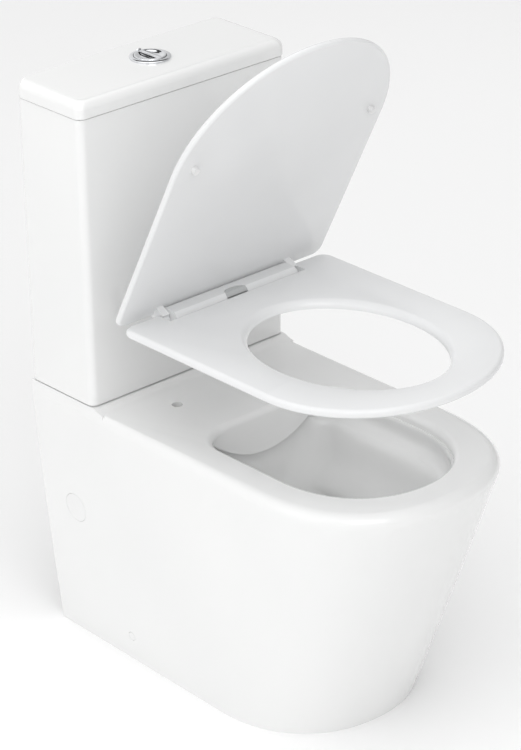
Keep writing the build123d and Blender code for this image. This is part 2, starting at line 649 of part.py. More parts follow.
def make_valve_tower():
    """Open cage and sleeve that stand on the valve base and guide its moving parts."""
    sleeve = tube(34, 31, SLEEVE_Z, SLEEVE_TOP, 0, VALVE_Y)
    top = tube(34, OVERFLOW_R + RUNNING, SLEEVE_TOP - 4, SLEEVE_TOP, 0, VALVE_Y)
    foot = tube(38, 31, BASE_TOP, BASE_TOP + 4, 0, VALVE_Y)
    legs = Part()
    for i in range(4):
        leg = block(31, 34, -4, 4, BASE_TOP, SLEEVE_Z + 2)
        legs += Pos(0, VALVE_Y, 0) * Rot(0, 0, 45 + 90 * i) * leg
    post = block(-6, 6, VALVE_Y - 6, VALVE_Y + 6, SLEEVE_TOP - 10, SLEEVE_TOP + 28)
    guides = Pos(GUIDE_X + 2, 0, 0) * post + Pos(-GUIDE_X - 2, 0, 0) * post
    guides -= cyl(OVERFLOW_R + 1.5, SLEEVE_TOP - 12, SLEEVE_TOP + 30, 0, VALVE_Y)
    tower = sleeve + top + foot + legs + guides
    for x in (-GUIDE_X, GUIDE_X):
        tower -= cyl(3 + RUNNING, SLEEVE_TOP - 20, SLEEVE_TOP + 30, x, VALVE_Y)
    return tower


def make_overflow_tube():
    """The overflow, which carries the seal and lifts with it."""
    pipe = tube(OVERFLOW_R, OVERFLOW_R - 2, BASE_TOP + 4, OVERFLOW_TOP, 0, VALVE_Y)
    disc = tube(27, OVERFLOW_R - 2, BASE_TOP + 4, BASE_TOP + 8, 0, VALVE_Y)
    return pipe + disc


def make_flush_seal():
    return tube(28.5, OVERFLOW_R - 2, BASE_TOP, BASE_TOP + 4, 0, VALVE_Y)


def make_plunger(side):
    """A push pad on a stem that runs in the valve tower's guide."""
    x = side * GUIDE_X
    stem = cyl(3, SLEEVE_TOP - 2 + 16, PAD_Z - 4, x, VALVE_Y)
    pad = block(min(side * 7, x + side * 5), max(side * 7, x + side * 5),
                VALVE_Y - 7, VALVE_Y + 7, PAD_Z - 4, PAD_Z)
    return stem + pad


# ---- buttons ------------------------------------------------------------------------
BUTTON_TOP = LID_TOP + BEZEL_RISE + 1
BUTTON_LOW = LID_TOP - 7
HOUSING_LOW = PLATE_UNDER - 16
HOUSING_FLOOR = HOUSING_LOW + 3
ROD_X = 11.0


def make_button_bezel():
    """The round collar in the lid: a rounded rim, a threaded tube and a floor with rod guides."""
    rim = cyl(BEZEL_R, LID_TOP, LID_TOP + BEZEL_RISE, 0, VALVE_Y)
    rim = fillet(rim.edges().group_by(Axis.Z)[-1], BEZEL_RISE - 0.6)
    pipe = cyl(BEZEL_TUBE_R, HOUSING_LOW, LID_TOP, 0, VALVE_Y)
    bezel = rim + pipe - cyl(BUTTON_R + 0.5, HOUSING_FLOOR, LID_TOP + 9, 0, VALVE_Y)
    for x in (-ROD_X, ROD_X):
        bezel -= cyl(2.5 + RUNNING, HOUSING_LOW - 1, HOUSING_FLOOR + 1, x, VALVE_Y)
    return bezel


def make_bezel_nut():
    nut = tube(33, BEZEL_TUBE_R + 0.05, PLATE_UNDER - 7, PLATE_UNDER, 0, VALVE_Y)
    for i in range(12):
        nut -= Pos(0, VALVE_Y, 0) * Rot(0, 0, 30 * i) * cyl(1.6, PLATE_UNDER - 8, PLATE_UNDER + 1, 33.6, 0)
    return nut


def button_split():
    """The wavy line that parts the full flush button from the half flush button."""
    lines = [
        Spline((-30, -14), (-12, -9), (0, -3), (12, 2), (30, 5)),
        Line((30, 5), (30, -60)),
        Line((30, -60), (-30, -60)),
        Line((-30, -60), (-30, -14)),
    ]
    return make_face(Curve() + lines)


def make_flush_button(full):
    """One of the two push buttons that share the collar's round opening."""
    disc = cyl(BUTTON_R, BUTTON_LOW, BUTTON_TOP, 0, VALVE_Y)
    disc = fillet(disc.edges().group_by(Axis.Z)[-1], 2.0)
    side = -1 if full else 1
    half_plane = block(0, 60, -60, 60, BUTTON_LOW - 1, BUTTON_TOP + 1)
    turn = Pos(0, VALVE_Y, 0) * Rot(0, 0, 0 if side > 0 else 180)
    part = disc & (turn * Pos(BUTTON_SPLIT / 2, 0, 0) * half_plane)
    dish = Pos(side * 10, VALVE_Y, BUTTON_TOP + 38.6) * Sphere(40)
    return part - dish


def make_push_rod(side):
    """Threaded rod under a button, with its collar."""
    x = side * ROD_X
    return cyl(2.5, PAD_Z + 0.5, BUTTON_LOW, x, VALVE_Y)


def make_return_spring(side):
    """Coil spring round a push rod, between the collar's floor and the button."""
    wire = 0.5
    height = BUTTON_LOW - HOUSING_FLOOR - 2 * wire
    pitch = height / 4
    path = Helix(pitch, height, 4.2)
    start = Plane(origin=path @ 0, z_dir=path % 0)
    coil = sweep(start * Circle(wire), path)
    return Pos(side * ROD_X, VALVE_Y, HOUSING_FLOOR + wire) * coil


# ---- fill valve ---------------------------------------------------------------------
HEAD_Z = 655.0
HEAD_TOP = 735.0
LEVER_AXIS_Z = HEAD_TOP + 11
LEVER_X = FILL_X + 6
FLOAT_TOP = 610.0
THREAD_GAP = 0.05


def pin_y(r, half, x, z):
    """Cylinder along Y, centred on the flush valve's line."""
    plane = Plane(origin=(x, VALVE_Y - half, z), z_dir=(0, 1, 0))
    return plane * Cylinder(r, 2 * half, align=(Align.CENTER, Align.CENTER, Align.MIN))


def make_fill_valve():
    """Bottom-entry fill valve: inlet thread, flange, riser, head and the float's guide."""
    flange_z = TANK_INSIDE_Z + WASHER
    shank = cyl(INLET_R, TANK_Z - INLET_LENGTH, flange_z, FILL_X, VALVE_Y)
    flange = cyl(16.5, flange_z, flange_z + 6, FILL_X, VALVE_Y)
    riser = cyl(RISER_R, flange_z, HEAD_Z + 2, FILL_X, VALVE_Y)
    head = cyl(15, HEAD_Z, HEAD_TOP, FILL_X, VALVE_Y)
    arm = block(FLOAT_X - 7, FILL_X, VALVE_Y - 6, VALVE_Y + 6, HEAD_Z, HEAD_Z + 5)
    ear = block(LEVER_X - 5, LEVER_X + 5, -7, -4.2, HEAD_TOP - 2, LEVER_AXIS_Z + 5)
    ears = Pos(0, VALVE_Y, 0) * (ear + Pos(0, 11.2, 0) * ear)
    valve = shank + flange + riser + head + arm + ears
    valve -= cyl(RISER_R - 2.5, TANK_Z - INLET_LENGTH - 1, HEAD_Z + 20, FILL_X, VALVE_Y)
    valve -= cyl(2 + RUNNING, HEAD_Z - 5, HEAD_Z + 10, FLOAT_X, VALVE_Y)
    return valve + pin_y(2, 7, LEVER_X, LEVER_AXIS_Z)


def make_fill_lever():
    """The short arm that the float pushes to shut the valve."""
    beam = block(
        FLOAT_X - 6, LEVER_X + 5, VALVE_Y - 3.8, VALVE_Y + 3.8,
        LEVER_AXIS_Z - 3.5, LEVER_AXIS_Z + 3.5,
    )
    return beam - pin_y(2 + SHAFT_RUNNING, 9, LEVER_X, LEVER_AXIS_Z)


def make_fill_float():
    """The float and its rod; it hangs under the lever and slides in the bracket."""
    body = cyl(24, FLOAT_TOP - 58, FLOAT_TOP, FLOAT_X, VALVE_Y)
    body = fillet(body.edges(), 4)
    rod = cyl(2, FLOAT_TOP - 3, LEVER_AXIS_Z - 3.8, FLOAT_X, VALVE_Y)
    return body + rod


def make_discharge_sleeve():
    """The sleeve round the riser that leads the water down quietly."""
    return tube(13, 11, TANK_INSIDE_Z + 25, HEAD_Z, FILL_X, VALVE_Y)


def make_inlet_washer():
    return tube(16.5, INLET_R + THREAD_GAP, TANK_INSIDE_Z, TANK_INSIDE_Z + WASHER, FILL_X, VALVE_Y)


def make_inlet_backnut():
    """The nut under the cistern that clamps the fill valve."""
    nut = hexagon(30, TANK_Z - 10, TANK_Z, FILL_X, VALVE_Y)
    return nut - cyl(INLET_R + THREAD_GAP, TANK_Z - 11, TANK_Z + 1, FILL_X, VALVE_Y)


# ---- seat unit: shapes are made with the hinge axis on the X axis, then placed --------
def placed(shape, turn=0.0):
    """Turn a seat part open about the hinge axis and put it at the stored height."""
    return Pos(0, AXIS_Y, AXIS_Z) * Rot(-turn, 0, 0) * shape


def shaft_hole(x0, x1):
    return rod_x(SHAFT_R + SHAFT_RUNNING, x0, x1, 0, 0)


def ring_outline(z, inset):
    """The seat ring's outer outline at one height, relative to the hinge axis."""
    face = d_face(z, RING_HALF - inset, RING_HALF - inset, RING_REAR - inset,
                  RING_FRONT_Y + inset, RING_CURVE - inset * 0.5, RING_FULLNESS)
    corners = face.vertices().sort_by(Axis.Y)[-2:]
    return fillet(corners, RING_CORNER)


def rounded_plate(outline, z0, z1, edge):
    """A plate whose outer edge is rounded above and below."""
    faces = []
    for angle in (-90, -60, -30, 0):
        faces.append((z0 + edge + edge * math.sin(math.radians(angle)), 1 - math.cos(math.radians(angle))))
    low = loft([outline(z, edge * gone) for z, gone in faces])
    mid = extrude(outline(z0 + edge, 0), z1 - z0 - 2 * edge)
    high = loft([outline(z1 - (z - z0), edge * gone) for z, gone in reversed(faces)])
    return low + mid + high


def ring_hole():
    """The ring's oval opening, wider at the top."""
    mid = RING_FRONT_Y + RING_FRONT + RING_HOLE_LENGTH / 2
    low = -AXIS_IN_RING
    half_l = RING_HOLE_LENGTH / 2
    faces = []
    for z, out in ((low, 0.0), (low + 4, 0.6), (low + 8, 3.0), (RING_TOP, RING_HOLE_BEVEL)):
        faces.append(Pos(0, mid, z) * Ellipse(RING_HOLE_HALF + out, half_l + out))
    cut = loft(faces)
    below = extrude(Pos(0, mid, low - 5) * Ellipse(RING_HOLE_HALF, half_l), 5.01)
    return cut + below


def make_seat_ring():
    """The seat ring, with the gap for the hinge bar and its two hinge knuckles."""
    ring = rounded_plate(ring_outline, -AXIS_IN_RING, RING_TOP, RING_EDGE) - ring_hole()
    gap = LUG_X + LUG_WIDTH + LUG_CLEAR
    ring -= block(-gap, gap, -BAR_FRONT - LUG_CLEAR, 60, -40, 40)
    ring += both_sides(rod_x(LUG_R, gap, gap + 22, 0, 0))
    ring -= both_sides(shaft_hole(gap - 1, gap + 20))
    return placed(ring)


BUFFER_PLACES = ((152.0, -139.0), (104.0, RING_FRONT_Y + 64.0))


def make_ring_buffers():
    """Four soft feet under the ring."""
    pads = Part()
    for x, y in BUFFER_PLACES:
        pads += both_sides(cyl(8, -AXIS_IN_RING - BUFFER, -AXIS_IN_RING, x, y))
    return placed(pads)


def lid_outline(z, inset):
    """The seat lid's outline when closed, relative to the hinge axis."""
    face = d_face(z, LID_HALF - inset, LID_HALF - inset, LID_TAIL - inset, LID_FRONT_Y + inset,
                  LID_CURVE - inset * 0.5, RING_FULLNESS)
    corners = face.vertices().sort_by(Axis.Y)[-2:]
    return fillet(corners, RING_CORNER)


def make_seat_lid():
    """The lid; its two lugs reach down to the hinge axis, one at each end of the hinge bar."""
    top = LID_UNDER + SEAT_LID_THICKNESS
    plate = rounded_plate(lid_outline, LID_UNDER, top, SEAT_LID_EDGE)
    plate -= block(-LUG_X, LUG_X, -LID_NOTCH, BIG, 0, BIG)
    lug = rod_x(LUG_R, LUG_X, LUG_X + LUG_WIDTH, 0, 0)
    lug += block(LUG_X, LUG_X + LUG_WIDTH, -LUG_R - 5, LUG_R - 1, 0, LID_UNDER + 3)
    lid = plate + both_sides(lug) - both_sides(shaft_hole(LUG_X - 5, LUG_X + LUG_WIDTH + 5))
    return placed(lid, LID_ANGLE)


LID_BUFFER_PLACE = (153.0, LID_FRONT_Y + 156.0)


def make_lid_buffers():
    """Two soft studs on the lid's underside."""
    x, y = LID_BUFFER_PLACE
    stud = cyl(5, LID_UNDER - SEAT_LID_GAP + 0.3, LID_UNDER, x, y)
    return placed(both_sides(stud), LID_ANGLE)


def front_corner(radius):
    """What stands outside a circle about the hinge axis, above and in front of it."""
    size = 2 * BAR_FRONT
    return Pos(-size / 2, size / 2) * Rectangle(size, size) - Circle(radius)


def bar_profile():
    """Section of the hinge bar: its front follows the swing of the ring, its rear is rounded."""
    face = Pos((BAR_REAR - BAR_FRONT) / 2, (BAR_TOP - BAR_BOTTOM) / 2) * Rectangle(
        BAR_FRONT + BAR_REAR, BAR_TOP + BAR_BOTTOM)
    upper = face.vertices().group_by(Axis.Y)[-1].sort_by(Axis.X)
    face = fillet(upper[-1], BAR_ROUND)
    return face - front_corner(BAR_FRONT)


FOOT_LOW = -6.0
FOOT_HIGH = 0.2


def release_plan(grow, front):
    """Plan of the release button: wide and straight in front, rounded behind."""
    y0 = -BAR_FRONT + RELEASE_SLIT
    y1 = y0 + RELEASE_DEPTH + grow
    wide = RELEASE_HALF + grow
    narrow = RELEASE_REAR_HALF + grow
    lines = [
        Line((-wide, front), (wide, front)),
        Line((wide, front), (wide, y0)),
        Bezier((wide, y0), (wide, y1 - 4), (narrow, y1), (0, y1)),
        Bezier((0, y1), (-narrow, y1), (-wide, y1 - 4), (-wide, y0)),
        Line((-wide, y0), (-wide, front)),
    ]
    return make_face(Curve() + lines)


BUTTON_SEAT = SHAFT_R + 1.7     # floor of the release button's pocket above the axis


def make_hinge_bar():
    """The hinge bar with its two feet over the fixing posts."""
    half = LUG_X - LUG_CLEAR
    bar = extrude(Plane.YZ * bar_profile(), half, both=True)
    foot_y = AXIS_FROM_WALL - HOLES_FROM_WALL
    foot = block(HOLE_SPACING / 2 - 13, HOLE_SPACING / 2 + 13, 0, foot_y + 12, FOOT_LOW, FOOT_HIGH)
    bar += both_sides(foot)
    bar -= both_sides(cyl(POST_R + 0.3, FOOT_LOW - 5, FOOT_HIGH - 1, HOLE_SPACING / 2, foot_y))
    bar -= both_sides(cyl(POST_FLANGE_R + 0.4, FOOT_LOW - 9, FOOT_LOW, HOLE_SPACING / 2, foot_y))
    bar -= both_sides(rod_x(DAMPER_R + 0.05, half - DAMPER_LENGTH, half + 1, 0, 0))
    bar -= shaft_hole(-half - 1, half + 1)
    pocket = Pos(0, 0, BUTTON_SEAT) * extrude(release_plan(RELEASE_CLEAR, -BAR_FRONT - 1), BAR_TOP)
    return placed(bar - pocket)


def make_damper(side):
    """Rotary damper cartridge in one end of the hinge bar."""
    half = LUG_X - LUG_CLEAR
    ends = sorted((side * (half - DAMPER_LENGTH + 0.5), side * (half - 0.5)))
    return placed(rod_x(DAMPER_R, *ends, 0, 0) - shaft_hole(-half, half))


def make_hinge_shaft():
    """One long pin through the bar, the lid's lugs and the ring's knuckles."""
    end = LUG_X + LUG_WIDTH + LUG_CLEAR + 19
    return placed(rod_x(SHAFT_R, -end, end, 0, 0))


def make_release_button():
    """The press button that unlocks the seat from its posts."""
    z0 = BUTTON_SEAT + RELEASE_TRAVEL + 0.3
    plan = release_plan(0, -BAR_FRONT + RELEASE_SLIT - 0.1)
    button = Pos(0, 0, z0) * extrude(plan, BAR_TOP - 0.6 - z0)
    button -= extrude(Plane.YZ * front_corner(BAR_FRONT - 0.3), RELEASE_HALF + 1, both=True)
    return placed(button)


def make_mounting_posts():
    """Two posts: a head in each hinge foot, a flange on the deck and a stud below."""
    y = AXIS_FROM_WALL - HOLES_FROM_WALL
    deck = RIM_HEIGHT + SEAT_REST_GAP + SEAT_LIFT - AXIS_Z
    x = HOLE_SPACING / 2
    post = cyl(POST_FLANGE_R, deck, FOOT_LOW - 0.1, x, y)
    post += cyl(POST_R, FOOT_LOW - 1, FOOT_HIGH - 1.5, x, y)
    post += cyl(3.5, deck - POST_LENGTH, deck + 1, x, y)
    return placed(both_sides(post))


def make_expansion_bushes():
    """Rubber bushes that swell in the deck holes when the posts are tightened."""
    y = AXIS_FROM_WALL - HOLES_FROM_WALL
    deck = RIM_HEIGHT + SEAT_REST_GAP + SEAT_LIFT - AXIS_Z
    return placed(both_sides(tube(6.8, 3.5, deck - 38, deck, HOLE_SPACING / 2, y)))


def make_cone_nuts():
    """Tapered nuts at the ends of the studs."""
    y = AXIS_FROM_WALL - HOLES_FROM_WALL
    deck = RIM_HEIGHT + SEAT_REST_GAP + SEAT_LIFT - AXIS_Z
    upright = (Align.CENTER, Align.CENTER, Align.MIN)
    cone = Pos(HOLE_SPACING / 2, y, deck - 48) * Cone(6.8, 4.6, 10, align=upright)
    return placed(both_sides(cone - cyl(3.5, deck - 60, deck, HOLE_SPACING / 2, y)))


# ---- the assembly -------------------------------------------------------------------
NODES = {
    "pan": make_pan,
    "access_cap_left": lambda: make_access_cap(-1),
    "access_cap_right": lambda: make_access_cap(1),
    "screw_caps": make_screw_caps,
    "floor_brackets": make_floor_brackets,
    "bracket_screws": make_bracket_screws,
    "floor_screws": make_floor_screws,
    "cistern_tank": make_cistern_tank,
    "tank_seat_pad": make_tank_seat_pad,
    "close_coupling_gasket": make_close_coupling_gasket,
    "cistern_bolts": make_cistern_bolts,
    "bolt_seals": make_bolt_seals,
    "plate_washers": make_plate_washers,
    "wing_nuts": make_wing_nuts,
    "cistern_lid": make_cistern_lid,
    "button_bezel": make_button_bezel,
    "bezel_nut": make_bezel_nut,
    "full_flush_button": lambda: make_flush_button(True),
    "half_flush_button": lambda: make_flush_button(False),
    "full_push_rod": lambda: make_push_rod(-1),
    "half_push_rod": lambda: make_push_rod(1),
    "full_return_spring": lambda: make_return_spring(-1),
    "half_return_spring": lambda: make_return_spring(1),
    "flush_valve_washer": make_valve_washer,
    "flush_valve_base": make_valve_base,
    "flush_valve_backnut": make_valve_backnut,
    "flush_valve_tower": make_valve_tower,
    "overflow_tube": make_overflow_tube,
    "flush_seal": make_flush_seal,
    "full_flush_plunger": lambda: make_plunger(-1),
    "half_flush_plunger": lambda: make_plunger(1),
    "fill_valve": make_fill_valve,
    "fill_lever": make_fill_lever,
    "fill_float": make_fill_float,
    "discharge_sleeve": make_discharge_sleeve,
    "inlet_washer": make_inlet_washer,
    "inlet_backnut": make_inlet_backnut,
    "seat_ring": make_seat_ring,
    "ring_buffers": make_ring_buffers,
    "seat_lid": make_seat_lid,
    "lid_buffers": make_lid_buffers,
    "hinge_bar": make_hinge_bar,
    "ring_damper": lambda: make_damper(-1),
    "lid_damper": lambda: make_damper(1),
    "hinge_shaft": make_hinge_shaft,
    "release_button": make_release_button,
    "mounting_posts": make_mounting_posts,
    "expansion_bushes": make_expansion_bushes,
    "cone_nuts": make_cone_nuts,
}

if __name__ == "__main__":
    os.makedirs("parts", exist_ok=True)
    for name, make in NODES.items():
        solids = make().solids()
        export_step(Compound(children=list(solids)), f"parts/{name}.step")
        print(name, len(solids))
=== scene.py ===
import json
import logging
import math
from dataclasses import dataclass
from enum import Enum
from typing import Sequence

import bmesh
import bpy
from mathutils import Matrix, Vector


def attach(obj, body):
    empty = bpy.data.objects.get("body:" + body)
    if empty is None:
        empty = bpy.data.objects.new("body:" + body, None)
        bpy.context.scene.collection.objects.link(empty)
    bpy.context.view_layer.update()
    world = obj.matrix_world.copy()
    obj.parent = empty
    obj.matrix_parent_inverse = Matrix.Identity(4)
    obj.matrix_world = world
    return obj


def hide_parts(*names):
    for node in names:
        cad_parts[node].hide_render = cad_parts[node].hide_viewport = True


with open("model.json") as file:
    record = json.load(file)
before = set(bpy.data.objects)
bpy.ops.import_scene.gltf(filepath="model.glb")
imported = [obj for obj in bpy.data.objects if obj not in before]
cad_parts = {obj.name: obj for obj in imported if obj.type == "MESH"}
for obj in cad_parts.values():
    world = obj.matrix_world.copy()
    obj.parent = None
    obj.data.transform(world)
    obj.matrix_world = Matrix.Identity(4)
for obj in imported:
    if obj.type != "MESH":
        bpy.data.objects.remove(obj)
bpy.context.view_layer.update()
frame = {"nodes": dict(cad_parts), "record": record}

log = logging.getLogger("toilet")
MM = 0.001
VALVES_Y = 257.0  # where the valves, the buttons and their bezel stand, in millimetres

Tone = tuple[float, float, float]
Triple = tuple[float, float, float]
Waves = tuple[float, float]


# ---- node and mesh helpers ------------------------------------------------------------
class Body(Enum):
    """The rigid bodies that pieces ride on."""

    FIXED = "pan_and_cistern"
    COVER = "cistern_cover"
    FULL_BUTTON = "full_button"
    HALF_BUTTON = "half_button"
    FIXINGS = "seat_fixings"
    HINGE = "hinge_block"
    RING = "ring"
    LID = "lid"


class Slot(Enum):
    """The record's material slots."""

    CERAMIC = "ceramic"
    SEAT = "seat_plastic"
    HINGE = "hinge_plastic"
    BUFFER = "buffer_plastic"
    RELEASE = "release_grey"
    CHROME = "chrome"
    STEEL = "steel"
    BRASS = "brass"
    RUBBER = "rubber"
    VALVE_WHITE = "valve_white"
    VALVE_BLUE = "valve_blue"
    CAP = "cap_plastic"


def set_inputs(node: bpy.types.Node, **values: float | tuple[float, ...]) -> None:
    """Sets constants on a node's input sockets.

    Args:
        node: the node.
        values: the constant by the socket's name, with _ for a space.
    """
    for name, value in values.items():
        node.inputs[name.replace("_", " ")].default_value = value


class NodeBench:
    """A small helper that adds and links shader nodes in one material.

    Attributes:
        NOISE_ENDS: noise values at which roughen() reaches its low and its high end.
        TONE_STOPS: noise values at which tint() reaches its dark and its light tone.
    """

    NOISE_ENDS = (0.3, 0.7)
    TONE_STOPS = (0.35, 0.65)

    def __init__(self, name: str) -> None:
        """Starts an empty node tree.

        Args:
            name: the material's name.
        """
        self.material = bpy.data.materials.new(name)
        self.material.use_nodes = True
        self.tree = self.material.node_tree
        self.tree.nodes.clear()
        self.output = self.tree.nodes.new("ShaderNodeOutputMaterial")
        self.shader = self.tree.nodes.new("ShaderNodeBsdfPrincipled")
        self.link(self.shader, "BSDF", self.output, "Surface")
        self.coords = self.tree.nodes.new("ShaderNodeTexCoord")

    def link(self, source: bpy.types.Node, out: str, target: bpy.types.Node, into: str) -> None:
        """Joins an output socket to an input socket.

        Args:
            source: the node that gives the value.
            out: its output's name.
            target: the node that takes the value.
            into: its input's name.
        """
        self.tree.links.new(source.outputs[out], target.inputs[into])

    def set(self, **values: float | tuple[float, ...]) -> None:
        """Sets constants on the shader's own sockets.

        Args:
            values: the constant by the socket's name, with _ for a space.
        """
        set_inputs(self.shader, **values)

    def mapped(self, scale: Triple) -> bpy.types.Node:
        """Object coordinates stretched by a scale, for brushed and moulded marks.

        Args:
            scale: stretch along X, Y and Z.

        Returns:
            The mapping node, whose output is Vector.
        """
        mapping = self.tree.nodes.new("ShaderNodeMapping")
        set_inputs(mapping, Scale=scale)
        self.link(self.coords, "Object", mapping, "Vector")
        return mapping

    def noise(
        self, scale: float, detail: float, source: bpy.types.Node | None = None
    ) -> bpy.types.Node:
        """A noise texture on object coordinates, or on a mapping node's.

        Args:
            scale: waves to the metre, roughly.
            detail: octaves of finer noise.
            source: a mapping node to read instead of plain object coordinates.

        Returns:
            The noise node, whose outputs are Fac and Color.
        """
        node = self.tree.nodes.new("ShaderNodeTexNoise")
        set_inputs(node, Scale=scale, Detail=detail)
        if source is None:
            self.link(self.coords, "Object", node, "Vector")
        else:
            self.link(source, "Vector", node, "Vector")
        return node

    def roughen(self, source: bpy.types.Node, low: float, high: float) -> None:
        """Varies the shader's roughness by a noise.

        Args:
            source: the noise node.
            low: roughness where the noise is low.
            high: roughness where the noise is high.
        """
        node = self.tree.nodes.new("ShaderNodeMapRange")
        start, end = self.NOISE_ENDS
        set_inputs(node, From_Min=start, From_Max=end, To_Min=low, To_Max=high)
        self.link(source, "Fac", node, "Value")
        self.link(node, "Result", self.shader, "Roughness")

    def tint(self, source: bpy.types.Node, dark: Tone, light: Tone) -> None:
        """Colours the shader between two tones by a noise.

        Args:
            source: the noise node.
            dark: colour where the noise is low.
            light: colour where the noise is high.
        """
        ramp = self.tree.nodes.new("ShaderNodeValToRGB")
        for stop, place, tone in zip(ramp.color_ramp.elements, self.TONE_STOPS, (dark, light)):
            stop.position = place
            stop.color = (*tone, 1.0)
        self.link(source, "Fac", ramp, "Fac")
        self.link(ramp, "Color", self.shader, "Base Color")

    def bump(self, source: bpy.types.Node, strength: float, distance: float) -> None:
        """Adds a fine relief from a noise.

        Args:
            source: the noise node.
            strength: share of the relief that shows.
            distance: height of the relief in metres.
        """
        node = self.tree.nodes.new("ShaderNodeBump")
        set_inputs(node, Strength=strength, Distance=distance)
        self.link(source, "Fac", node, "Height")
        self.link(node, "Normal", self.shader, "Normal")


# ---- finishes -------------------------------------------------------------------------
@dataclass(frozen=True)
class Glaze:
    """White vitreous china under a thick clear glaze with a very slight orange peel.

    Attributes:
        dark: the darker of its two close tones.
        light: the lighter tone.
        roughness: least and greatest roughness.
        peel: height of the orange peel in metres.
        tone_waves: waves to the metre and octaves of the tone's mottling.
        rough_waves: the same for the roughness.
        peel_waves: the same for the orange peel.
    """

    dark: Tone = (0.80, 0.803, 0.80)
    light: Tone = (0.83, 0.832, 0.828)
    roughness: tuple[float, float] = (0.10, 0.16)
    peel: float = 0.00006
    tone_waves: Waves = (2.5, 2.0)
    rough_waves: Waves = (9.0, 4.0)
    peel_waves: Waves = (70.0, 2.0)

    def build(self) -> bpy.types.Material:
        """Makes the material.

        Returns:
            The glazed ceramic material.
        """
        bench = NodeBench("white_glaze")
        bench.tint(bench.noise(*self.tone_waves), self.dark, self.light)
        bench.roughen(bench.noise(*self.rough_waves), *self.roughness)
        bench.bump(bench.noise(*self.peel_waves), strength=0.25, distance=self.peel)
        bench.set(IOR=1.52, Coat_Weight=0.35, Coat_Roughness=0.04, Coat_IOR=1.5)
        return bench.material


@dataclass(frozen=True)
class MouldedPlastic:
    """A moulded plastic with a faint texture from its tool.

    Attributes:
        name: the material's name.
        dark: the darker of its two close tones.
        light: the lighter tone.
        roughness: least and greatest roughness.
        grain: height of the tool texture in metres.
        tone_waves: waves to the metre and octaves of the tone's mottling.
        rough_waves: the same for the roughness.
        grain_waves: the same for the tool texture.
    """

    name: str
    dark: Tone
    light: Tone
    roughness: tuple[float, float]
    grain: float = 0.00003
    tone_waves: Waves = (6.0, 2.0)
    rough_waves: Waves = (24.0, 5.0)
    grain_waves: Waves = (420.0, 3.0)

    def build(self) -> bpy.types.Material:
        """Makes the material.

        Returns:
            The plastic material.
        """
        bench = NodeBench(self.name)
        bench.tint(bench.noise(*self.tone_waves), self.dark, self.light)
        bench.roughen(bench.noise(*self.rough_waves), *self.roughness)
        bench.bump(bench.noise(*self.grain_waves), strength=0.2, distance=self.grain)
        bench.set(IOR=1.49)
        return bench.material


@dataclass(frozen=True)
class Metal:
    """A polished, brushed or turned metal.

    Attributes:
        name: the material's name.
        dark: the darker of its two close tones.
        light: the lighter tone.
        roughness: least and greatest roughness.
        grain_scale: stretch of the surface marks along X, Y and Z.
        relief: height of the marks in metres.
        mark_waves: waves to the metre and octaves of the marks.
        rough_waves: the same for the roughness.
    """

    name: str
    dark: Tone
    light: Tone
    roughness: tuple[float, float]
    grain_scale: Triple = (1.0, 1.0, 1.0)
    relief: float = 0.00001
    mark_waves: Waves = (160.0, 4.0)
    rough_waves: Waves = (60.0, 3.0)

    def build(self) -> bpy.types.Material:
        """Makes the material.

        Returns:
            The metal material.
        """
        bench = NodeBench(self.name)
        marks = bench.noise(*self.mark_waves, bench.mapped(self.grain_scale))
        bench.tint(marks, self.dark, self.light)
        bench.roughen(bench.noise(*self.rough_waves), *self.roughness)
        bench.bump(marks, strength=0.15, distance=self.relief)
        bench.set(Metallic=1.0)
        return bench.material


@dataclass(frozen=True)
class Rubber:
    """Dull rubber with a dusty, mottled skin.

    Attributes:
        name: the material's name.
        dark: the darker of its two close tones.
        light: the lighter tone.
        roughness: least and greatest roughness.
        pores: height of the skin's pores in metres.
        tone_waves: waves to the metre and octaves of the dust.
        rough_waves: the same for the roughness.
        pore_waves: the same for the pores.
    """

    name: str
    dark: Tone
    light: Tone
    roughness: tuple[float, float] = (0.62, 0.82)
    pores: float = 0.00004
    tone_waves: Waves = (45.0, 5.0)
    rough_waves: Waves = (120.0, 3.0)
    pore_waves: Waves = (600.0, 2.0)

    def build(self) -> bpy.types.Material:
        """Makes the material.

        Returns:
            The rubber material.
        """
        bench = NodeBench(self.name)
        bench.tint(bench.noise(*self.tone_waves), self.dark, self.light)
        bench.roughen(bench.noise(*self.rough_waves), *self.roughness)
        bench.bump(bench.noise(*self.pore_waves), strength=0.3, distance=self.pores)
        bench.set(IOR=1.5)
        return bench.material


Finish = Glaze | MouldedPlastic | Metal | Rubber

